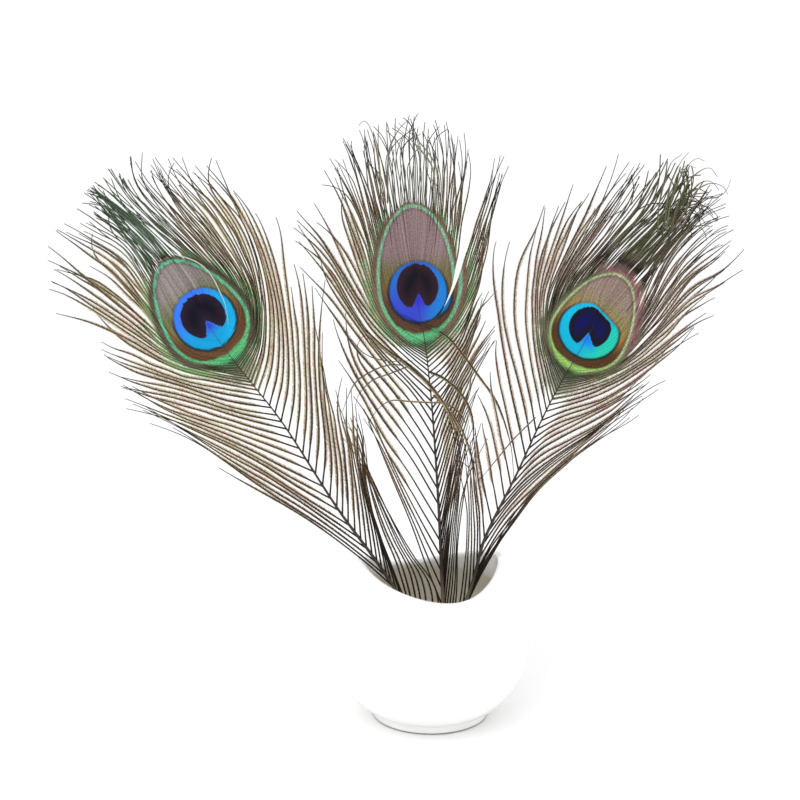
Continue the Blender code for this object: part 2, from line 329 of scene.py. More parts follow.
middleFeather = {
    "name": "middle_feather", "depth": 6.0, "lean": 0.06, "seed": 23,
    "shaft": [(8, 9), (6, 54), (4, 96), (1, 141), (-1, 162), (-3, 178), (-6, 194), (-8, 212)],
    "leftGuides": [
        [(6, 50), (-1, 68), (-8, 88), (-18, 112), (-26, 132), (-34, 150)],
        [(5, 75), (-5, 93), (-15, 112), (-23, 130), (-30, 150)],
        [(4, 92), (-8, 112), (-20, 130), (-32, 150), (-42, 165), (-50, 176)],
        [(3.5, 103), (-8, 123), (-22, 143), (-34, 160), (-44, 178), (-49, 190)],
        [(3, 115), (-9, 135), (-24, 155), (-36, 172), (-47, 190)],
        [(2.5, 125), (-7, 140), (-20, 158), (-34, 174), (-45, 190), (-57, 207)],
        [(1.5, 137), (-8, 152), (-21, 166), (-35, 184), (-45, 198), (-63, 222)],
        [(0, 152), (-12, 163), (-27, 178), (-38, 195), (-50, 215), (-67, 233)],
        [(-1, 163), (-14, 174), (-27, 187), (-37, 202), (-48, 220), (-61, 237)],
        [(-2, 170), (-14, 178), (-24, 190), (-31, 207), (-37, 225), (-44, 243), (-51, 254)],
        [(-2.5, 175), (-13, 181), (-22, 193), (-27, 210), (-32, 228), (-40, 247), (-46, 262)],
        [(-3, 179), (-13, 184), (-22, 197), (-26, 215), (-31, 235), (-38, 255), (-43, 267)],
        [(-4, 184), (-14, 190), (-21, 205), (-23, 225), (-28, 245), (-33, 262), (-36, 273)],
        [(-5.5, 192), (-13, 202), (-18, 218), (-21, 238), (-25, 258), (-28, 277)],
        [(-6.5, 200), (-10.5, 214), (-14, 234), (-17, 255), (-19, 268), (-20, 279)],
    ],
    "rightGuides": [
        [(7.5, 25), (12, 52), (13, 80), (15, 100), (17, 120), (19, 145)],
        [(6, 50), (8, 72), (11, 100), (14, 120), (18, 140)],
        [(5.8, 65), (8, 85), (11, 105), (15, 125), (18, 145)],
        [(5.2, 80), (8, 100), (12, 120), (17, 140), (22, 155)],
        [(4.5, 95), (9, 115), (13, 135), (19, 150), (24, 162)],
        [(3.5, 110), (9, 130), (14, 145), (20, 160), (28, 178)],
        [(2, 130), (7, 145), (13, 158), (19, 168), (24, 175), (33, 186)],
        [(1, 143), (8, 155), (14, 165), (18, 175), (22, 190)],
        [(0, 152), (8, 160), (15, 172), (21, 185), (29, 203)],
        [(-1, 160), (7, 167), (14, 178), (20, 192), (27, 202)],
        [(-1.5, 166), (7, 174), (16, 186), (22, 203), (26, 220), (29, 232)],
        [(-2, 171), (8, 180), (18, 195), (25, 215), (28, 235), (32, 255)],
        [(-2.5, 177), (6.5, 184), (12.5, 193), (17, 204), (21, 217), (25, 231), (29, 247), (31, 262)],
        [(-3.4, 182), (3, 187), (8, 195.7), (11, 202), (13.1, 207.5), (16.5, 219), (20, 231), (25, 246),
         (30, 262)],
        None,
        [(-3.6, 182.6), (2.5, 188.5), (6.9, 195.5), (9.4, 202), (10.8, 209), (12.6, 221), (15, 239),
         (16, 258), (13, 273)],
        [(-5, 187), (2, 196), (6.5, 209), (8.5, 228), (10.5, 248), (10.5, 264), (8, 276)],
        [(-5.5, 192), (0, 204), (2.5, 220), (4.5, 240), (5, 258), (4, 268), (2, 278)],
        [(-6.5, 200), (-4, 215), (-2, 235), (-1, 255), (-2, 268), (-4, 280)],
    ],
    "endGuide": [(-8, 212), (-8, 230), (-9, 247), (-10, 264), (-11, 281)],
    "leftPitch": [(14, 0.0), (24, 0.9), (34, 1.8), (44, 3.6), (56, 5.4), (75, 8.0), (160, 8.5)],
    "rightPitch": [(14, 0.0), (24, 1.0), (34, 2.2), (60, 4.4), (180, 5.4)],
    "bareRoot": {"left": 26.0, "right": 7.0},
    "crownPitch": 1.1, "tuft": 0.3,
    "rightSwing": 7.0,
    "terminalCurl": (0.6, -80.0, 70.0),
    "strays": {
        "left": [
            loneBarb(1.2, 0.7, (-13, 166), (-20, 166), (-28, 163), (-35, 158), (-39, 150), (-41, 144)),
            loneBarb(0.8, 0.7, (-9, 166), (-18, 162.5), (-27, 159), (-33, 153), (-35, 147)),
            loneBarb(1.0, 0.8, (16, 139), (13, 144), (7, 148), (0, 148.5), (-9, 149), (-18, 149.5),
                     (-24, 146), (-29, 139)),
            loneBarb(1.6, 1.0, (-14, 189.5), (-6.6, 185.8), (0, 183.5), (9.3, 177.6), (23, 160),
                     (31, 148), (37, 130), (39, 113)),
            loneBarb(1.4, 1.1, (-26, 181), (-16, 171), (-7, 163), (1, 155), (7, 147), (12, 138),
                     (16, 128), (18, 116)),
            loneBarb(1.1, 1.0, (-20, 173), (-10, 165), (-2, 159), (5, 150), (10, 140), (13, 128),
                     (15, 118)),
            loneBarb(0.9, 1.1, (-30, 182), (-20, 173), (-11, 167), (-3, 160), (4, 151), (8, 143),
                     (11, 131)),
            loneBarb(1.3, 1.1, (-1, 163), (6, 160), (13, 154), (18, 146), (20, 136), (19, 126)),
            loneBarb(1.0, 0.9, (1, 152), (8, 146), (14, 137), (18, 127), (21, 115), (22, 104)),
            loneBarb(0.8, 0.6, (-37, 178), (-30, 171), (-20, 168), (-8, 168)),
            loneBarb(0.8, 0.75, (-23, 238), (-23.5, 252), (-25, 264), (-27, 272), (-30, 277), (-33, 275)),
            loneBarb(0.6, 0.8, (-20, 240), (-20, 254), (-19, 265), (-15, 273), (-10, 278)),
        ],
        "right": [
            loneBarb(0.8, 0.75, (1.5, 236), (1.5, 248), (0, 257), (-5, 264), (-11, 270), (-17, 275)),
            loneBarb(1.0, 0.7, (3, 238), (3.5, 250), (1, 259), (-4, 266), (-10, 272), (-15, 276)),
        ],
    },
    "eye": {
        "centre": (-6.0, 199.7), "turn": 3.0, "uneven": 0.9,
        "ringMiddle": (-0.6, 5.0), "ringHalf": 17.4, "ringUp": 34.3, "ringDown": 25.5, "ringTaper": 0.02,
        "ringWidth": 1.6, "blueHalf": (13.4, 14.1), "blueCut": 40.0, "blueCutTurn": 0.0,
        "heartMiddle": (-0.1, 2.4), "heartHalf": (9.6, 10.6), "notch": (0.3, -0.4),
        "notchSpread": 26.0, "notchTurn": 0.0,
        "heartCore": (16, 14, 30), "heartEdge": (46, 28, 38), "notchColour": (56, 44, 206),
        "blueHigh": (46, 106, 196), "blueLow": (58, 74, 200), "azure": (34, 126, 208),
        "bronze": (92, 64, 48), "olive": (110, 104, 68), "mauve": (138, 116, 118), "gold": (122, 96, 58),
        "ring": (128, 182, 150), "ringLow": (96, 190, 130), "ringOut": (128, 108, 88),
        "green": (92, 176, 128), "moss": (142, 150, 96), "crown": (150, 152, 136),
        "barb": (190, 176, 142), "barbDark": (128, 112, 84), "barbRed": (160, 130, 100), "pinkSide": 0.0,
    },
}

rightFeather = {
    "name": "right_feather", "depth": -2.0, "lean": 0.02, "seed": 37,
    "shaft": [(-2, 9), (18, 60), (25, 86), (39, 116), (49, 139), (57, 156), (67, 174), (74, 187), (80, 199)],
    "leftGuides": [
        [(12, 45), (15, 66), (17, 90), (17, 110), (18, 130)],
        [(22, 75), (22, 95), (20, 112), (18, 135)],
        [(29, 94), (25, 110), (21, 130), (19, 145)],
        [(33, 103), (30, 120), (26, 135), (21, 150)],
        [(37, 111), (33, 130), (29, 148), (24, 166)],
        [(43, 126), (40, 140), (36, 158), (31, 185), (29, 205), (33, 220), (43, 232)],
        [(47, 134), (44, 150), (40, 165), (36, 178), (33, 195), (35, 215), (42, 240)],
        [(50, 141), (47, 155), (44, 170), (41, 190), (42, 215), (47, 235), (42, 253)],
        [(53, 148), (50, 162), (47, 178), (46, 200), (49, 222), (57, 248)],
        [(56, 154), (52, 168), (49, 183), (49, 205), (54, 228), (64, 252)],
        [(57, 157), (53, 170), (50, 185), (51, 203), (58, 225), (71, 254)],
        [(60, 162), (55, 172), (52, 185), (54, 202), (63, 222), (76, 245), (86, 262)],
        [(63, 168), (57, 176), (54, 188), (58, 204), (68, 220), (82, 240), (97, 263)],
        [(65, 172), (59, 180), (58, 192), (65, 207), (78, 222), (92, 240), (103, 260)],
        [(68, 177), (64, 188), (67, 202), (78, 217), (90, 229), (99, 238), (105, 249), (109, 262)],
        [(72, 184), (72, 198), (80, 212), (92, 225), (102, 235), (109, 247), (113, 261)],
    ],
    "rightGuides": [
        [(6, 28), (16, 52), (28, 78), (42, 102), (56, 118), (72, 132), (90, 146)],
        [(18, 62), (28, 82), (42, 100), (56, 116), (72, 129), (88, 142), (94, 150)],
        [(25, 85), (38, 104), (54, 120), (70, 132), (85, 143), (98, 153), (103, 161)],
        [(32, 100), (44, 114), (60, 127), (76, 138), (92, 150), (106, 158)],
        [(38, 112), (50, 125), (66, 134), (80, 142), (92, 151), (103, 158), (112, 161)],
        [(43, 126), (55, 136), (72, 144), (85, 150), (97, 158)],
        [(47, 134), (58, 141), (74, 147), (90, 156), (103, 168)],
        [(50, 142), (62, 147), (78, 152), (93, 161), (108, 172), (124, 186)],
        [(54, 150), (68, 153), (85, 160), (102, 171), (118, 182), (126, 184)],
        [(56, 154), (70, 157), (87, 164), (103, 175), (118, 188), (129, 197)],
        [(58, 158), (72, 161), (88, 168), (103, 180), (118, 194), (133, 205)],
        [(60, 163), (73, 164), (88, 171), (102, 185), (117, 203), (131, 212), (141, 222)],
        [(62, 167), (75, 168), (88, 176), (99, 190), (112, 210), (127, 225), (138, 231)],
        [(65, 172), (78, 173), (90, 184), (98, 200), (108, 220), (122, 234), (135, 237)],
        [(67, 175), (80, 181), (90, 194), (97, 209), (107, 223), (117, 233), (128, 241)],
        [(70, 181), (82, 191), (93, 203), (104, 216), (114, 229), (121, 239), (129, 247)],
        [(73, 186), (82, 198), (92, 210), (104, 223), (113, 234), (120, 244), (126, 252)],
    ],
    "endGuide": [(80, 199), (88, 212), (98, 223), (108, 234), (114, 245), (119, 258)],
    "leftPitch": [(14, 0.0), (22, 0.9), (30, 1.8), (36, 3.2), (44, 5.4), (60, 6.6), (150, 7.0)],
    "rightPitch": [(14, 0.0), (22, 0.9), (30, 1.8), (36, 3.0), (44, 4.2), (60, 5.4), (110, 6.6), (160, 7.0)],
    "bareRoot": {"left": 8.0, "right": 6.0},
    "crownPitch": 0.8, "tuft": 1.0,
    "terminalCurl": (1.0, -170.0, 50.0),
    "strays": {
        "left": [
            loneBarb(1.0, 0.7, (48, 144), (38, 134), (30, 124), (22, 114)),
            loneBarb(0.7, 0.75, (104, 230), (104.5, 240), (106, 250), (110, 259), (114, 264)),
            loneBarb(1.0, 0.7, (105, 228), (106, 238), (108, 247), (112, 256), (117, 261), (121, 260)),
            loneBarb(0.8, 0.75, (101, 228), (101, 239), (103, 250), (106, 259), (111, 263)),
            loneBarb(0.5, 0.7, (103, 226), (104, 236), (107, 246), (109, 254), (113, 258), (117, 257)),
        ],
        "right": [
            loneBarb(0.8, 0.7, (107, 228), (109, 238), (112, 247), (117, 254), (123, 257), (127, 253)),
            loneBarb(1.0, 0.65, (110, 229), (113, 238), (117, 246), (123, 250), (129, 249), (132, 245)),
            loneBarb(0.6, 0.6, (112, 230), (116, 238), (121, 243), (127, 244), (131, 247), (133, 252)),
            loneBarb(0.5, 0.7, (106, 226), (109, 236), (114, 244), (119, 250), (124, 251), (128, 247)),
        ],
    },
    "eye": {
        "centre": (71.4, 183.8), "turn": -28.5, "uneven": 0.45,
        "ringMiddle": (0.6, 0.0), "ringHalf": 17.6, "ringUp": 28.6, "ringDown": 17.4, "ringTaper": 0.1,
        "ringWidth": 1.1, "blueHalf": (14.0, 12.5), "blueCut": 10.4, "blueCutTurn": -46.0,
        "heartMiddle": (-0.4, 1.6), "heartHalf": (9.7, 9.4), "notch": (0.2, -0.6),
        "notchSpread": 29.0, "notchTurn": 17.0,
        "heartCore": (6, 14, 92), "heartEdge": (22, 16, 38), "notchColour": (28, 116, 244),
        "blueHigh": (20, 184, 222), "blueLow": (18, 178, 214), "azure": (34, 200, 172),
        "bronze": (84, 58, 34), "olive": (140, 130, 84), "mauve": (148, 128, 118), "gold": (150, 112, 60),
        "ring": (168, 192, 142), "ringLow": (150, 196, 104), "ringOut": (112, 112, 86),
        "green": (112, 132, 96), "moss": (120, 120, 84), "crown": (98, 104, 72),
        "barb": (206, 190, 168), "barbDark": (140, 122, 100), "barbRed": (184, 152, 138), "pinkSide": 1.0,
    },
}

feathers = [leftFeather, middleFeather, rightFeather]

barbs = {
    "samples": 30,  # places along a barb
    "outerGap": 0.78,  # between neighbours two thirds of the way out from the eye
    "nearestRoots": 0.34,
    "ribRadius": 0.19, "ribTip": 0.16, "ribTaper": 0.7,
    "webWidest": 1.8, "webOverlap": 0.03, "webTile": 0.12,
    "webOff": 1.6,  # how fast a web counts as off the rib, for each millimetre
    "barbulePitch": 0.15, "barbuleBase": 0.42, "barbuleSet": 0.09, "barbuleTwist": 0.02,
    "barbuleReach": (1.45, 0.8),  # across the barb, on its wide and its narrow side
    "fullGap": 1.7,  # between neighbours where the barbules have their whole reach
    "barbuleSlant": 38.0, "barbuleLeast": 0.09, "barbuleEnd": 0.3,
    "pitchJitter": 0.4, "spanJitter": (0.72, 1.12), "aheadJitter": (0.8, 1.2), "tiltJitter": 0.14,
    "forwardsShare": 0.85,  # of the barbs, how many have their wide side forwards
    "tilt": (0.12, 0.16),
    "camber": 3.0,
    "strayFront": 0.3, "strayReach": 1.25, "strayBare": 0.35,
}

# shares of a web's width, a barbule's length or a rib's thickness, more or less in some places
growth = {
    "webLeast": 0.1, "webMore": 0.5, "webInside": 0.15, "webFilled": 0.9, "webCrown": 0.65,
    "bareJitter": (0.7, 1.3), "bareFade": 7.0, "rootReach": 0.22, "endCut": 0.85, "tuftEnd": 0.85,
    "leastRoom": 0.45, "insideCut": 0.4, "crownCut": 0.8, "crownTip": 0.4, "mouthReach": 0.5,
    "lowRib": 0.4, "insideRib": 0.5, "crownRib": 0.08, "tuftRib": 0.7,
}

looseness = {
    "clumpSize": (2, 6), "clumpPull": (0.1, 0.5),
    "longWave": 0.4, "longWaves": (0.8, 2.2),
    "shortWave": 0.16, "shortWaves": (3.0, 6.0),
    "steady": 0.5, "sway": 0.9, "depthSway": 0.9, "depthWave": 0.5, "depthWaves": (3.0, 8.0),
    "evenShare": 0.8, "evenEnds": (0.88, 1.0), "raggedEnds": (0.7, 0.9),
    "kinkShare": 0.06, "kinkTurn": 45.0, "curlStart": (0.66, 0.84), "tipTurn": 9.0,
}

# where something starts and where it is whole
zones = {
    # shares of a barb's length
    "outward": (0.0, 0.25), "clump": (0.35, 0.95), "wave": (0.05, 0.5), "kink": (0.8, 1.0),
    "tip": (0.6, 1.0), "end": (0.68, 1.0), "strayEnd": (0.6, 0.95), "parting": (0.1, 0.24),
    # a share of the vane's barbs, counted from the lowest
    "terminal": (0.72, 0.9),
    # millimetres outside the ring
    "inEye": (0.5, 4.5), "inside": (0.6, 3.5), "fringe": (2.5, 12.0),
    # millimetres beneath the middle of the eye
    "swing": (60.0, 20.0), "steady": (15.0, 45.0), "low": (22.0, 55.0), "filledBeneath": (26.0, 42.0),
    # millimetres from the root, beside the eye's axis, and up from the floor
    "filledRun": (6.0, 18.0), "crownSide": (8.0, 20.0), "mouth": (75.0, 125.0),
}


def smooth(values, low, high):
    share = np.clip((np.asarray(values, float) - low) / (high - low), 0.0, 1.0)
    return share * share * (3.0 - 2.0 * share)


def within(values, zone):
    return smooth(values, *zones[zone])


def curveThrough(points, count):
    # count places at equal steps along the smooth curve through points
    points = np.array(points, float)
    padded = np.vstack([2.0 * points[0] - points[1], points, 2.0 * points[-1] - points[-2]])
    fine = []
    for i in range(len(points) - 1):
        a, b, c, d = padded[i:i + 4]
        t = np.linspace(0.0, 1.0, 16, endpoint=False)[:, None]
        bend = (2.0 * a - 5.0 * b + 4.0 * c - d) * t * t
        twist = (3.0 * b - a - 3.0 * c + d) * t ** 3
        fine.append(0.5 * (2.0 * b + (c - a) * t + bend + twist))
    fine = np.vstack(fine + [points[-1:]])
    return resample(fine, count)


def lengths(line):
    steps = np.linalg.norm(np.diff(line, axis=0), axis=1)
    return np.concatenate([[0.0], np.cumsum(steps)])


def resample(line, count):
    run = lengths(line)
    places = np.linspace(0.0, run[-1], count)
    return np.column_stack([np.interp(places, run, line[:, k]) for k in range(line.shape[1])])


def turned(points, degrees):
    # turned to the left by this angle, or each by an angle of its own
    angle = np.radians(degrees)
    x, z = points[..., 0], points[..., 1]
    newX = x * np.cos(angle) - z * np.sin(angle)
    newZ = x * np.sin(angle) + z * np.cos(angle)
    return np.stack([newX, newZ], -1)


def eyePlaces(eye, flat):
    # places across and along the eye's own axis, from the middle of the blue
    return turned(flat - np.array(eye["centre"]), -eye["turn"])


def outsideRing(eye, flat):
    # distance outside the eye's ring, negative inside it
    place = eyePlaces(eye, flat) - np.array(eye["ringMiddle"])
    half = np.where(place[..., 1] > 0.0, eye["ringUp"], eye["ringDown"])
    up = place[..., 1] / half
    side = place[..., 0] / (eye["ringHalf"] * (1.0 - eye["ringTaper"] * np.clip(up, -0.5, 1.0)))
    reach = np.sqrt(side * side + up * up) + 1e-6
    return np.linalg.norm(place, axis=-1) * (1.0 - 1.0 / reach)


def crownShare(eye, flat):
    # 1 among the barbs that stand above the eye
    place = eyePlaces(eye, flat)
    above = smooth(place[..., 1], eye["ringUp"] - 1.0, eye["ringUp"] + 7.0)
    return above * (1.0 - within(np.abs(place[..., 0]), "crownSide"))


def rootPitch(feather, side, height, spread):
    # the step up the shaft to the next root; spread is how much the barbs fan out there
    near = min(max(barbs["outerGap"] / spread, barbs["nearestRoots"]), feather["crownPitch"])
    beneath = feather["eye"]["centre"][1] - height
    places, steps = zip(*feather[side + "Pitch"])
    return max(near, float(np.interp(beneath, places, steps)))


def fanning(samples, heights):
    # how far apart neighbouring guides are, well out from the shaft, for each unit between their roots
    outer = slice(int(barbs["samples"] * 0.5), int(barbs["samples"] * 0.8))
    apart = np.linalg.norm(samples[1:, outer] - samples[:-1, outer], axis=-1).mean(axis=1)
    return apart / np.maximum(np.diff(heights), 0.5)


def guideRuns(feather, side):
    # the guides in runs that a parting splits, each with the turn of its barbs away from rest
    runs, run = [], []
    for guide in feather[side + "Guides"] + [feather["endGuide"]]:
        if guide is None:
            runs.append(run)
            run = []
        else:
            run.append(guide)
    runs.append(run)
    swings = [0.0] * len(runs)
    if side + "Swing" in feather:
        swings[0] = feather[side + "Swing"]
    return list(zip(runs, swings))


def restLines(feather, side, rng):
    # every barb's line in the feather's plane, from the lowest to the highest
    shaft = curveThrough(feather["shaft"], 400)
    lines, swings = [], []
    for run, swing in guideRuns(feather, side):
        samples = np.array([curveThrough(guide, barbs["samples"]) for guide in run])
        heights = samples[:, 0, 1]
        spreads = fanning(samples, heights)
        height = heights[0]
        while height <= heights[-1]:
            k = min(int(np.searchsorted(heights, height, side="right")) - 1, len(run) - 2)
            share = (height - heights[k]) / (heights[k + 1] - heights[k])
            line = samples[k] * (1.0 - share) + samples[k + 1] * share
            root = np.array([np.interp(height, shaft[:, 1], shaft[:, 0]), height])
            if height > shaft[-1, 1]:
                root = shaft[-1]
            fade = (1.0 - np.linspace(0.0, 1.0, len(line)))[:, None] ** 3
            lines.append(line + (root - line[0]) * fade)
            swings.append(swing * within(feather["eye"]["centre"][1] - height, "swing"))
            height += rootPitch(feather, side, height, spreads[k]) * rng.uniform(0.85, 1.15)
    return np.array(lines), np.array(swings)


def sideways(lines):
    # unit directions along each line and square to it, to the right of its run
    along = np.gradient(lines, axis=-2)
    along /= np.linalg.norm(along, axis=-1, keepdims=True) + 1e-9
    return along, np.stack([along[..., 1], -along[..., 0]], -1)


def neighbourGaps(lines, swings):
    # how far each barb is from the one below it and the one above it, all along
    across = sideways(lines)[1]
    gaps = np.abs(np.sum((lines[1:] - lines[:-1]) * across[:-1], axis=-1))
    apart = within(np.linspace(0.0, 1.0, lines.shape[1]), "parting")
    for i in np.flatnonzero(np.abs(np.diff(swings)) > 1.0):
        # nothing reaches across a parting
        gaps[i] = gaps[i] * (1.0 - apart) + 0.2 * apart
    below = np.vstack([gaps[:1], gaps])
    above = np.vstack([gaps, gaps[-1:]])
    return below, above


def bent(line, headings):
    # the line with each of its steps turned by an angle of its own, in degrees
    steps = turned(np.diff(line, axis=0), 0.5 * (headings[1:] + headings[:-1]))
    return np.vstack([line[:1], line[0] + np.cumsum(steps, axis=0)])


def waving(t, kind, rng):
    height = rng.normal(0.0, looseness[kind + "Wave"])
    count = rng.uniform(*looseness[kind + "Waves"])
    return height * np.sin(2.0 * math.pi * (t * count + rng.uniform()))


def loosen(feather, lines, loose, rng):
    # clumps, waves, curls and uneven ends, growing outwards
    count, samples = lines.shape[:2]
    t = np.linspace(0.0, 1.0, samples)
    across = sideways(lines)[1]
    result = lines.copy()
    start = 0
    while start < count:
        size = int(rng.integers(*looseness["clumpSize"]))
        group = slice(start, min(start + size, count))
        middle = result[group].mean(axis=0)
        pull = rng.uniform(*looseness["clumpPull"]) * within(t, "clump")[None, :, None]
        pull = pull * loose[group][:, :, None]
        result[group] += (middle - result[group]) * pull
        start += size
    curled, lowTurn, highTurn = feather["terminalCurl"]
    for i in range(count):
        wave = waving(t, "long", rng)
        wave += waving(t, "short", rng)
        sway = rng.normal(0.0, looseness["sway"]) * t ** 2
        shift = (wave * within(t, "wave") + sway) * loose[i]
        result[i] += across[i] * shift[:, None]
        ends = "evenEnds" if rng.uniform() < looseness["evenShare"] else "raggedEnds"
        keep = rng.uniform(*looseness[ends])
        trimmed = np.interp(np.linspace(0.0, keep, samples), t, np.arange(samples))
        low = trimmed.astype(int).clip(0, samples - 2)
        share = (trimmed - low)[:, None]
        result[i] = result[i][low] * (1.0 - share) + result[i][low + 1] * share
        terminal = within(i / count, "terminal")
        if rng.uniform() < looseness["kinkShare"]:
            headings = rng.normal(0.0, looseness["kinkTurn"]) * within(t, "kink")
        elif rng.uniform() < curled * terminal:
            start = rng.uniform(*looseness["curlStart"])
            headings = rng.uniform(lowTurn, highTurn) * smooth(t, start, 1.0)
        else:
            headings = rng.normal(0.0, looseness["tipTurn"]) * within(t, "tip")
        result[i] = bent(result[i], headings)
    return result


class Strands:
    # a growing heap of triangles with what their finish reads
    def __init__(self):
        self.points, self.flat, self.facts, self.faces = [], [], [], []
        self.count = 0

    def add(self, points, flat, facts, faces):
        self.points.append(points)
        self.flat.append(flat)
        self.facts.append(facts)
        self.faces.append(faces + self.count)
        self.count += len(points)

    def makePiece(self, name, feather, finish):
        points = np.vstack(self.points).astype(np.float32) * mm
        flat = np.vstack(self.flat)
        facts = np.vstack(self.facts)
        faces = np.vstack(self.faces).astype(np.int32)
        mesh = bpy.data.meshes.new(name)
        mesh.vertices.add(len(points))
        mesh.vertices.foreach_set("co", points.ravel())
        mesh.loops.add(len(faces) * 3)
        mesh.loops.foreach_set("vertex_index", faces.ravel())
        mesh.polygons.add(len(faces))
        mesh.polygons.foreach_set("loop_start", np.arange(len(faces), dtype=np.int32) * 3)
        mesh.update(calc_edges=True)
        eyePlace = np.zeros((len(flat), 3), np.float32)
        eyePlace[:, :2] = eyePlaces(feather["eye"], flat)
        for label, values in (("eyePlace", eyePlace), ("barbFacts", facts.astype(np.float32))):
            stored = mesh.attributes.new(label, "FLOAT_VECTOR", "POINT")
            stored.data.foreach_set("vector", values.ravel())
        low, high = flat.min(axis=0), flat.max(axis=0)
        spread = (flat - low) / (high - low).max() * 0.98 + 0.01
        unfolded = mesh.uv_layers.new(name="OFBake")
        unfolded.data.foreach_set("uv", spread[faces.ravel()].astype(np.float32).ravel())
        mesh.materials.append(finish)
        mesh.polygons.foreach_set("use_smooth", np.ones(len(faces), bool))
        piece = bpy.data.objects.new(name, mesh)
        bpy.context.scene.collection.objects.link(piece)
        print(name, len(faces), "triangles")
        return piece


def lift(feather, flat, back):
    # places in the feather's plane as places in the scene, in millimetres
    depth = feather["depth"] + feather["lean"] * (flat[..., 1] - mouthHeight) + back
    return np.stack([flat[..., 0], depth, flat[..., 1]], -1)


def gridFaces(rows, columns, closed):
    # triangles between the rows of a grid of points
    faces = []
    for j in range(columns if closed else columns - 1):
        a = np.arange(rows - 1) * columns + j
        b = np.arange(rows - 1) * columns + (j + 1) % columns
        faces.append(np.column_stack([a, b, b + columns]))
        faces.append(np.column_stack([a, b + columns, a + columns]))
    return np.vstack(faces)


def addRib(heap, feather, line, rest, back, shade, thick):
    # a three-sided rib that thins to its tip
    count = len(line)
    t = np.linspace(0.0, 1.0, count)
    radius = (barbs["ribRadius"] * (1.0 - t) ** barbs["ribTaper"] + barbs["ribTip"]) * thick
    across = sideways(line)[1]
    corners, flats = [], []
    for turn in (90.0, 210.0, 330.0):
        side = across * (radius * math.cos(math.radians(turn)))[:, None]
        corners.append(lift(feather, line + side, back - radius * math.sin(math.radians(turn))))
        flats.append(rest)
    points = np.stack(corners, 1).reshape(-1, 3)
    flat = np.stack(flats, 1).reshape(-1, 2)
    facts = np.column_stack([np.repeat(t, 3), np.zeros(count * 3), np.full(count * 3, shade)])
    heap.add(points, flat, facts, gridFaces(count, 3, True))


def addWeb(heap, feather, line, rest, back, shade, below, above):
    # the flat web of a barb in the eye, each lying over the next like a roof tile
    count = len(line)
    t = np.linspace(0.0, 1.0, count)
    across = sideways(line)[1]
    tile = barbs["webTile"]
    points, flats, facts = [], [], []
    for reach, rise in ((-below, -tile), (0.0 * below, tile), (above, 0.0)):
        side = across * reach[:, None]
        points.append(lift(feather, line + side, back - rise))
        flats.append(rest + side)
        off = np.minimum(np.abs(reach) * barbs["webOff"], 1.0)
        facts.append(np.column_stack([t, off, np.full(count, shade)]))
    points = np.stack(points, 1).reshape(-1, 3)
    flats = np.stack(flats, 1).reshape(-1, 2)
    facts = np.stack(facts, 1).reshape(-1, 3)
    heap.add(points, flats, facts, gridFaces(count, 3, False))


def addBarbules(heap, feather, line, rest, back, shade, reach, wideSide, tilt, rng):
    # two rows of pointed blades that grow forwards from the rib
    run = lengths(line)
    pitch = barbs["barbulePitch"]
    places = np.arange(barbs["barbuleEnd"], run[-1] - barbs["barbuleEnd"], pitch)
    if len(places) < 3:
        return
    count = len(places)
    places = places + rng.uniform(-barbs["pitchJitter"], barbs["pitchJitter"], count) * pitch
    along, across = sideways(line)

    def at(values):
        return np.column_stack([np.interp(places, run, values[:, k]) for k in range(values.shape[1])])

    middle, restMiddle, forward, right = at(line), at(rest), at(along), at(across)
    depth = np.interp(places, run, back) + barbs["barbuleSet"]
    scale = np.interp(places, run, reach)
    slant = math.radians(barbs["barbuleSlant"])
    halfBase = 0.5 * barbs["barbuleBase"] * forward
    for side in (-1.0, 1.0):
        wide, narrow = barbs["barbuleReach"]
        span = (wide if side == wideSide else narrow) * scale * rng.uniform(*barbs["spanJitter"], count)
        ahead = span / math.tan(slant) * rng.uniform(*barbs["aheadJitter"], count)
        turn = tilt + rng.normal(0.0, barbs["tiltJitter"], count)
        tip = middle + forward * ahead[:, None] + right * (side * span * np.cos(turn))[:, None]
        tipRest = restMiddle + forward * ahead[:, None] + right * (side * span)[:, None]
        corners = [
            lift(feather, middle - halfBase, depth - barbs["barbuleTwist"]),
            lift(feather, middle + halfBase, depth + barbs["barbuleTwist"]),
            lift(feather, tip, depth + span * np.sin(turn)),
        ]
        facts = np.zeros((count, 3, 3))
        facts[:, :, 0] = (places / run[-1])[:, None]
        facts[:, 2, 1] = 1.0
        facts[:, :, 2] = shade
        keep = span > barbs["barbuleLeast"]
        points = np.stack(corners, 1)[keep]
        flats = np.stack([restMiddle, restMiddle, tipRest], 1)[keep]
        if len(points):
            faces = np.arange(len(points) * 3).reshape(-1, 3)
            heap.add(points.reshape(-1, 3), flats.reshape(-1, 2), facts[keep].reshape(-1, 3), faces)


def addBarb(heap, feather, line, rest, back, shade, thick, reach, rng, side):
    addRib(heap, feather, line, rest, back, shade, thick)
    forwards = 1.0 if side == "left" else -1.0
    wideSide = forwards if rng.uniform() < barbs["forwardsShare"] else -forwards
    tilt = rng.normal(*barbs["tilt"])
    addBarbules(heap, feather, line, rest, back, shade, reach, wideSide, tilt, rng)


def addStray(heap, feather, stray, side, rng):
    line = curveThrough(stray["line"], barbs["samples"])
    t = np.linspace(0.0, 1.0, len(line))
    back = -stray["front"] * np.sin(math.pi * t) - barbs["strayFront"]
    thick = stray["thick"]
    reach = barbs["strayReach"] * (thick - barbs["strayBare"]) * (1.0 - within(t, "strayEnd"))
    shade = 2.0 if stray["pale"] else rng.uniform()
    addBarb(heap, feather, line, line, back, shade, thick, reach, rng, side)


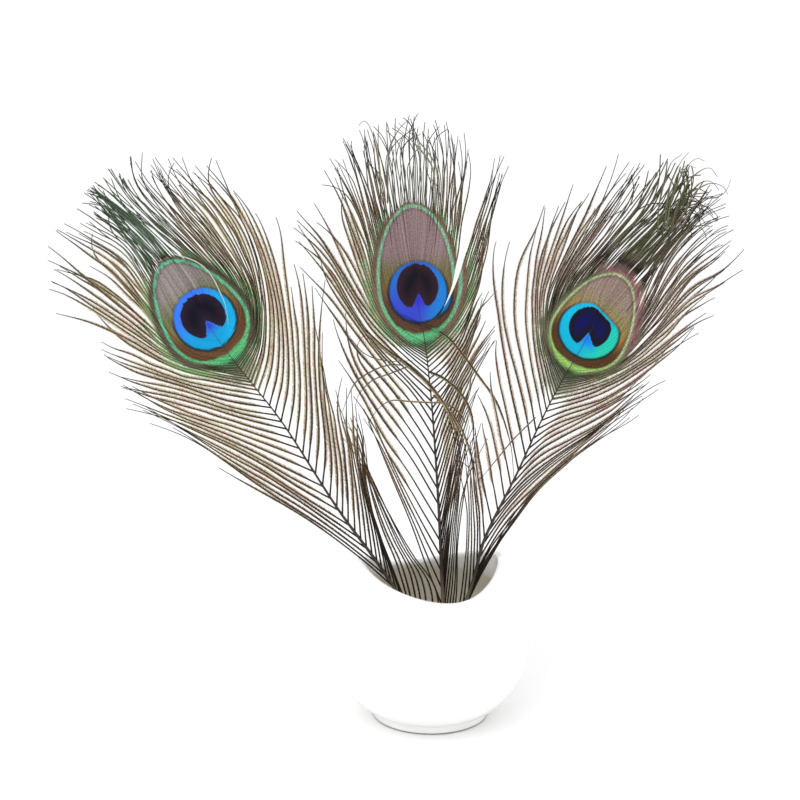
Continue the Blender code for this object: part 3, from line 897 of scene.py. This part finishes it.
def looseShares(eye, lines, swings):
    # a barb is loose past the last place where it is in the eye
    t = np.linspace(0.0, 1.0, barbs["samples"])
    still = lines.copy()
    for i in range(len(lines)):
        still[i] = lines[i][0] + turned(lines[i] - lines[i][0], swings[i])
    inEye = 1.0 - within(outsideRing(eye, still), "inEye")
    lastIn = np.maximum.accumulate(inEye[:, ::-1], axis=1)[:, ::-1]
    loose = (1.0 - lastIn) * within(t, "outward")[None, :]
    steady = within(eye["centre"][1] - lines[:, 0, 1], "steady")
    return loose * (1.0 - looseness["steady"] * steady[:, None])


def buildVane(feather, side, finish):
    rng = np.random.default_rng(feather["seed"] + (0 if side == "left" else 1))
    eye = feather["eye"]
    lines, swings = restLines(feather, side, rng)
    below, above = neighbourGaps(lines, swings)
    t = np.linspace(0.0, 1.0, barbs["samples"])
    loose = looseShares(eye, lines, swings)
    moved = loosen(feather, lines, loose, rng)
    heap = Strands()
    for i in range(len(lines)):
        line = moved[i]
        root = line[0]
        rest = root + turned(line - root, swings[i])
        run = lengths(line)
        beneath = eye["centre"][1] - root[1]
        lowness = within(beneath, "low")
        outside = outsideRing(eye, rest)
        inside = 1.0 - within(outside, "inside")
        filled = (1.0 - within(run, "filledRun")) * (1.0 - within(beneath, "filledBeneath"))
        crown = crownShare(eye, rest)
        fringe = (1.0 - growth["webCrown"] * crown) * (1.0 - within(outside, "fringe"))
        webbed = np.maximum(np.maximum(inside, filled * growth["webFilled"]), fringe)
        shade = rng.uniform()
        wander = rng.normal(0.0, looseness["depthSway"]) * t
        wander += rng.normal(0.0, looseness["depthWave"]) * np.sin(t * rng.uniform(*looseness["depthWaves"]))
        back = barbs["camber"] * t ** 2 + wander * loose[i]
        if webbed.max() > 0.05:
            share = growth["webLeast"] + webbed * growth["webMore"] + growth["webInside"] * inside
            low = np.minimum(below[i] * share, barbs["webWidest"]) * webbed + barbs["webOverlap"]
            high = np.minimum(above[i] * share, barbs["webWidest"]) * webbed + barbs["webOverlap"]
            if side == "right":
                low, high = high, low
            addWeb(heap, feather, line, rest, back, shade, low, high)
        bare = feather["bareRoot"][side] * lowness * rng.uniform(*growth["bareJitter"])
        tuft = feather["tuft"] * crown
        ends = (1.0 - growth["tuftEnd"] * tuft) * within(t, "end")
        leafy = smooth(run, bare, bare + growth["bareFade"])
        reach = growth["rootReach"] + (1.0 - growth["rootReach"]) * leafy
        reach = reach * (1.0 - growth["endCut"] * ends) * (1.0 - growth["insideCut"] * inside)
        reach = reach * np.clip(0.5 * (below[i] + above[i]) / barbs["fullGap"], growth["leastRoom"], 1.0)
        reach = reach * (1.0 - crown * (growth["crownCut"] - growth["crownTip"] * t))
        aboveMouth = within(line[:, 1], "mouth")
        reach = reach * (growth["mouthReach"] + (1.0 - growth["mouthReach"]) * aboveMouth)
        thick = 1.0 + growth["lowRib"] * lowness * (1.0 - t)
        thick = thick * (1.0 - growth["insideRib"] * inside)
        thick = thick * (1.0 - growth["crownRib"] * crown + growth["tuftRib"] * tuft * t)
        addBarb(heap, feather, line, rest, back, shade, thick, reach, rng, side)
    for stray in feather["strays"][side]:
        addStray(heap, feather, stray, side, rng)
    return heap.makePiece(feather["name"] + "_" + side + "_barbs", feather, finish)


tones = {
    "lowDark": (92, 66, 50), "lowLight": (158, 118, 76), "pink": (160, 116, 118),
    "veinGreen": (84, 112, 88), "veinMoss": (92, 98, 72), "ringShade": (84, 50, 44),
    "teal": (16, 44, 52), "rib": (24, 19, 17), "pale": (214, 218, 206),
}

# how much of what is under it each marking covers
covers = {
    "barbRed": 0.8, "crown": 0.85, "pink": 0.85, "gold": 0.9, "ringShade": 0.45, "teal": 0.8,
    "low": 0.6, "green": 0.9, "vein": 0.8, "ring": 0.92,
}

# sizes of the markings in millimetres, and the scales of their noise
patterns = {
    "blueRound": 2.5, "cutRound": 1.5, "cutInset": 1.0, "notchRound": 3.4,
    "crownUp": (-8.0, 2.0), "tuftUp": 12.0, "ringSoft": 0.4,
    "stepScale": 0.45, "grainScale": 1.1, "speckleAndGlintScale": 1.5, "redScale": 0.09, "greenScale": 0.17,
    "shadeStep": 0.7, "noiseStep": 1.6,
}

# where each marking starts and where it is whole
marks = {
    # values of the noise, and shares across and along a barb
    "light": (0.35, 0.95), "redPatch": (0.5, 0.62), "greenPatch": (0.4, 0.58),
    "rib": (0.04, 0.32), "fineLine": (0.3, 0.8), "end": (0.7, 1.0), "pale": (1.2, 1.8),
    # millimetres outside the ring
    "green": (4.5, 10.0), "ringOut": (2.4, 4.4), "pinkRing": (3.5, 6.5), "outer": (0.5, 3.0),
    "ringShade": (-2.6, -0.8), "field": (-0.4, 0.2),
    # millimetres up from the middle of the blue, or down from it
    "mauve": (8.0, 20.0), "gold": (0.0, 12.0), "bronze": (-6.0, 4.0), "ringLow": (-14.0, -2.0),
    "blueHigh": (-8.0, 6.0), "tealTop": (4.0, 10.0), "notchDown": (2.0, 9.0), "pinkUp": (12.0, 26.0),
    "veinTop": (-17.0, -11.0), "veinEnd": (-50.0, -22.0), "underUp": (-18.0, -10.0),
    "low": (48.0, 95.0), "lowest": (80.0, 125.0),
    # millimetres beside the shaft or to the right of it
    "veinSide": (3.0, 13.0), "underSide": (3.0, 12.0), "crownSide": (6.0, 20.0), "azure": (2.0, 12.0),
    # millimetres outside the blue, the notch and the heart
    "tealIn": (-0.9, 0.1), "tealOut": (0.5, 1.2), "blue": (-0.2, 0.2), "notch": (-1.5, 1.5),
    "heartEdge": (-5.5, -0.8), "heart": (-0.3, 0.3),
}


def barbFinish(feather):
    eye = feather["eye"]
    barb = Finish(feather["name"] + "Barbs")
    x, y, _ = barb.split(barb.attribute("eyePlace"))
    along, off, shade = barb.split(barb.attribute("barbFacts"))
    place = barb.join(x, y)
    # each barb's pattern is a little out of step with its neighbour's
    jitter = (barb.noise(place, patterns["stepScale"]) - 0.5) * patterns["noiseStep"]
    y = y + ((shade - 0.5) * patterns["shadeStep"] + jitter) * eye["uneven"]

    def colour(name):
        return paint(*(tones[name] if name in tones else eye[name]))

    def rise(value, mark):
        return barb.step(value, *marks[mark])

    def fall(value, mark):
        return 1.0 - rise(value, mark)

    def lay(share, under, name):
        return barb.mix(share * covers[name], under, colour(name))

    def reachOf(middle, half):
        u = (x - middle[0]) / half[0]
        v = (y - middle[1]) / half[1]
        return barb.sum("SQRT", u * u + v * v) + 0.001

    # the blue patch, cut off straight on one side where the eye has that
    blue = (reachOf((0.0, 0.0), eye["blueHalf"]) - 1.0) * eye["blueHalf"][0]
    cutTurn = math.radians(eye["blueCutTurn"] - eye["turn"])
    cut = y * math.cos(cutTurn) - x * math.sin(cutTurn)
    blue = barb.sum("SMOOTH_MAX", blue, cut - eye["blueCut"], patterns["blueRound"])
    # the dark heart with its notch
    heart = (reachOf(eye["heartMiddle"], eye["heartHalf"]) - 1.0) * eye["heartHalf"][0]
    heartCut = cut - (eye["blueCut"] - patterns["cutInset"])
    heart = barb.sum("SMOOTH_MAX", heart, heartCut, patterns["cutRound"])
    spread = math.radians(eye["notchSpread"])
    notchTurn = math.radians(eye["notchTurn"])
    nx = x - eye["notch"][0]
    ny = eye["notch"][1] - y
    notchOff = barb.sum("ABSOLUTE", nx * math.cos(notchTurn) - ny * math.sin(notchTurn))
    notchDown = nx * math.sin(notchTurn) + ny * math.cos(notchTurn)
    wedge = notchOff * math.cos(spread) - notchDown * math.sin(spread)
    heart = barb.sum("SMOOTH_MAX", heart, -wedge, patterns["notchRound"])
    # the ring
    rx = x - eye["ringMiddle"][0]
    ry = y - eye["ringMiddle"][1]
    over = barb.step(ry, -0.5, 0.5)
    up = ry / (eye["ringDown"] + over * (eye["ringUp"] - eye["ringDown"]))
    aside = rx / (eye["ringHalf"] * (1.0 - eye["ringTaper"] * up))
    reach = barb.sum("SQRT", aside * aside + up * up) + 0.001
    ring = barb.sum("SQRT", rx * rx + ry * ry) * (1.0 - 1.0 / reach)

    grain = barb.noise(barb.join(x, y, shade * 7.0), patterns["grainScale"], 3.0)
    # a fine noise for specks in the barbs' tone and for their painted glint
    speckleAndGlint = barb.noise(place, patterns["speckleAndGlintScale"], 1.0)
    offShaft = barb.sum("ABSOLUTE", x)
    # loose barbs: tan and olive barbules, reddish in places and greener near the eye
    field = barb.mix(rise(shade * 0.6 + speckleAndGlint * 0.8, "light"), colour("barbDark"), colour("barb"))
    field = lay(rise(barb.noise(place, patterns["redScale"]), "redPatch"), field, "barbRed")
    low = rise(-y, "low")
    lowTone = barb.mix(shade, colour("lowDark"), colour("lowLight"))
    field = barb.mix(low * covers["low"], field, lowTone)
    green = barb.mix(grain, colour("green"), colour("moss"))
    patches = rise(barb.noise(place, patterns["greenScale"], 1.0), "greenPatch")
    greenShare = fall(ring, "green") * (0.35 + 0.65 * patches)
    field = barb.mix(greenShare * covers["green"], field, green)
    top = eye["ringMiddle"][1] + eye["ringUp"] + patterns["tuftUp"] * feather["tuft"]
    crownStart, crownWhole = patterns["crownUp"]
    crown = barb.step(y, top + crownStart, top + crownWhole) * fall(offShaft, "crownSide")
    crownTone = barb.brighten(colour("crown"), 0.35 + 0.7 * speckleAndGlint + 0.6 * shade)
    field = barb.mix(crown * covers["crown"], field, crownTone)
    outTone = barb.brighten(colour("ringOut"), 0.75 + 0.5 * speckleAndGlint)
    field = barb.mix(fall(ring, "ringOut"), field, outTone)
    pink = eye["pinkSide"] * fall(ring, "pinkRing") * rise(y + x * 0.9, "pinkUp")
    field = lay(pink, field, "pink")
    vein = fall(offShaft, "veinSide") * fall(y, "veinTop") * rise(y, "veinEnd")
    veinTone = barb.mix(grain, colour("veinGreen"), colour("veinMoss"))
    field = barb.mix(vein * covers["vein"], field, veinTone)
    # inside the ring
    inner = barb.mix(rise(y, "mauve"), colour("olive"), colour("mauve"))
    inner = lay(fall(y, "gold"), inner, "gold")
    inner = barb.mix(fall(y, "bronze"), inner, colour("bronze"))
    inner = lay(rise(ring, "ringShade"), inner, "ringShade")
    skin = barb.mix(rise(ring, "field"), inner, field)
    # the ring's own band, wider just under the blue
    under = fall(y, "underUp") * fall(offShaft, "underSide")
    band = barb.sum("ABSOLUTE", ring - under) - (0.5 * eye["ringWidth"] + under)
    ringTone = barb.mix(fall(y, "ringLow"), colour("ring"), colour("ringLow"))
    ringTone = barb.brighten(ringTone, 0.62 + 0.66 * speckleAndGlint)
    ringShare = 1.0 - barb.step(band, -patterns["ringSoft"], patterns["ringSoft"] + under)
    skin = barb.mix(ringShare * covers["ring"], skin, ringTone)
    # the blue over it, with a dark teal edge
    blueTone = barb.mix(rise(y, "blueHigh"), colour("blueLow"), colour("blueHigh"))
    blueTone = barb.mix(rise(x - 0.3 * y, "azure"), blueTone, colour("azure"))
    notch = fall(wedge, "notch") * fall(ny, "notchDown")
    blueTone = barb.mix(notch, blueTone, colour("notchColour"))
    inBlue = fall(blue, "blue")
    skin = barb.mix(inBlue, skin, blueTone)
    edge = rise(blue, "tealIn") * fall(blue, "tealOut") * (1.0 - 0.6 * rise(y, "tealTop"))
    skin = lay(edge, skin, "teal")
    heartTone = barb.mix(rise(heart, "heartEdge"), colour("heartCore"), colour("heartEdge"))
    skin = barb.mix(fall(heart, "heart"), skin, heartTone)
    # outside the eye the ribs are dark, and so are a barb's root and its thin end
    outer = rise(ring, "outer")
    tuft = crown * feather["tuft"]
    ribShare = fall(off, "rib") * (0.95 - 0.25 * crown - 0.4 * tuft - 0.1 * low) * (1.0 - 0.65 * pink)
    endShare = rise(along, "end") * (0.75 - 0.5 * tuft)
    dark = 1.0 - (1.0 - ribShare) * (1.0 - endShare) * (1.0 - rise(-y, "lowest") * 0.6)
    skin = barb.mix(dark * outer, skin, colour("rib"))
    # inside it each barb still shows as a fine line
    line = rise(off, "fineLine") * (1.0 - outer)
    streak = (shade - 0.5) * (0.42 - 0.32 * inBlue) * (1.0 - outer)
    # painted glint: a fine speckle lightens and darkens the barbs, standing in for barbules catching the
    # light
    paintedGlint = (speckleAndGlint - 0.5) * (1.3 - 1.1 * inBlue)
    skin = barb.brighten(skin, (0.94 + paintedGlint + streak + 0.12 * grain) * (1.0 - 0.3 * line))
    skin = barb.mix(rise(shade, "pale"), skin, colour("pale"))
    barb.set(Base_Color=skin, Roughness=0.5, Specular_IOR_Level=0.1)
    return barb.material


shafts = {
    "samples": 90, "sides": 3, "smoothAngle": 50.0,
    "radii": [(0.0, 1.05), (0.3, 0.85), (0.55, 0.52), (0.75, 0.32), (0.88, 0.16), (1.0, 0.05)],
    "dark": (26, 20, 16), "brown": (58, 44, 34), "horn": (206, 190, 160),
    "hornHeight": (0.03, 0.075), "hornShare": 0.8,
    "streakScale": 260.0, "streakDepth": 0.3, "roughness": 0.34,
}


def quillFinish():
    quill = Finish("quill")
    place = quill.node("ShaderNodeTexCoord", None, None, "Object")
    x, y, z = quill.split(place)
    # the streaks run up the quill
    streak = quill.noise(quill.join(x * 4.0, y * 4.0, z * 0.6), shafts["streakScale"], 3.0)
    horn = (1.0 - quill.step(z, *shafts["hornHeight"])) * shafts["hornShare"]
    tone = quill.mix(streak, paint(*shafts["dark"]), paint(*shafts["brown"]))
    tone = quill.mix(horn, tone, paint(*shafts["horn"]))
    quill.set(Base_Color=tone, Roughness=shafts["roughness"] + 0.2 * streak)
    depth = {"Strength": 0.3, "Distance": shafts["streakDepth"] * mm, "Height": streak}
    quill.set(Normal=quill.node("ShaderNodeBump", None, depth))
    return quill.material


def buildShaft(feather, finish):
    # a tapering tube along the shaft's line, thinner towards the eye
    line = curveThrough(feather["shaft"], shafts["samples"])
    curve = bpy.data.curves.new(feather["name"] + "_quill", "CURVE")
    curve.dimensions = "3D"
    curve.bevel_depth = mm
    curve.bevel_resolution = shafts["sides"]
    curve.use_fill_caps = True
    spline = curve.splines.new("POLY")
    spline.points.add(len(line) - 1)
    places = np.linspace(0.0, 1.0, len(line))
    radii = np.interp(places, [r[0] for r in shafts["radii"]], [r[1] for r in shafts["radii"]])
    for knot, at, radius in zip(spline.points, lift(feather, line, 0.0 * places) * mm, radii):
        knot.co = (*at, 1.0)
        knot.radius = radius
    piece = bpy.data.objects.new(feather["name"] + "_quill", curve)
    bpy.context.scene.collection.objects.link(piece)
    select(piece)
    bpy.ops.object.convert(target="MESH")
    piece = bpy.context.object
    bpy.ops.object.shade_smooth_by_angle(angle=math.radians(shafts["smoothAngle"]))
    piece.data.materials.clear()
    piece.data.materials.append(finish)
    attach(piece, "root")
    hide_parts(feather["name"] + "_shaft")


def buildFeathers():
    quill = quillFinish()
    for feather in feathers:
        finish = barbFinish(feather)
        for side in ("left", "right"):
            piece = buildVane(feather, side, finish)
            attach(piece, "root")
            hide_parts(feather["name"] + "_" + side + "_vane")
        buildShaft(feather, quill)


studio = {
    "floorSize": 6.0, "worldLight": 1.04,
    "floor": (250, 250, 250), "floorCloud": (253, 253, 253),
    "keyPower": 5.0, "keySize": 1.2, "keyPlace": (-0.55, -0.75, 1.15), "keyAim": (0.0, 0.0, 0.12),
    "cameraPlace": (-0.0143, -0.70, 0.2997), "cameraTilt": 78.074, "lens": 70.39, "sensor": 36.0,
}


def buildStudio():
    scene = bpy.context.scene
    deselectAll()
    bpy.ops.mesh.primitive_plane_add(size=studio["floorSize"])
    floor = bpy.context.object
    floor.name = "studioFloor"
    white = Finish("studioWhite")
    place = white.node("ShaderNodeTexCoord", None, None, "Object")
    tone = white.mix(white.noise(place, 4.0), paint(*studio["floor"]), paint(*studio["floorCloud"]))
    white.set(Base_Color=tone, Roughness=0.8, Specular_IOR_Level=0.1)
    floor.data.materials.append(white.material)
    world = bpy.data.worlds.new("studioLight")
    scene.world = world
    world.use_nodes = True
    background = world.node_tree.nodes["Background"]
    background.inputs["Color"].default_value = (1.0, 1.0, 1.0, 1.0)
    background.inputs["Strength"].default_value = studio["worldLight"]
    light = bpy.data.lights.new("softBox", "AREA")
    light.energy = studio["keyPower"]
    light.size = studio["keySize"]
    lamp = bpy.data.objects.new("softBox", light)
    lamp.location = studio["keyPlace"]
    toAim = Vector(studio["keyAim"]) - Vector(studio["keyPlace"])
    lamp.rotation_euler = toAim.to_track_quat("-Z", "Y").to_euler()
    scene.collection.objects.link(lamp)
    camera = bpy.data.cameras.new("camera")
    camera.lens = studio["lens"]
    camera.sensor_width = studio["sensor"]
    holder = bpy.data.objects.new("camera", camera)
    holder.location = studio["cameraPlace"]
    holder.rotation_euler = (math.radians(studio["cameraTilt"]), 0.0, 0.0)
    scene.collection.objects.link(holder)
    scene.camera = holder
    scene.view_settings.view_transform = "Standard"


buildStudio()
bowl = buildVase()
bowl.data.materials.append(glazeFinish())
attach(bowl, "root")
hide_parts("vase")
print("vase made:", len(bowl.data.polygons), "faces")
buildFeathers()
print("feathers made")
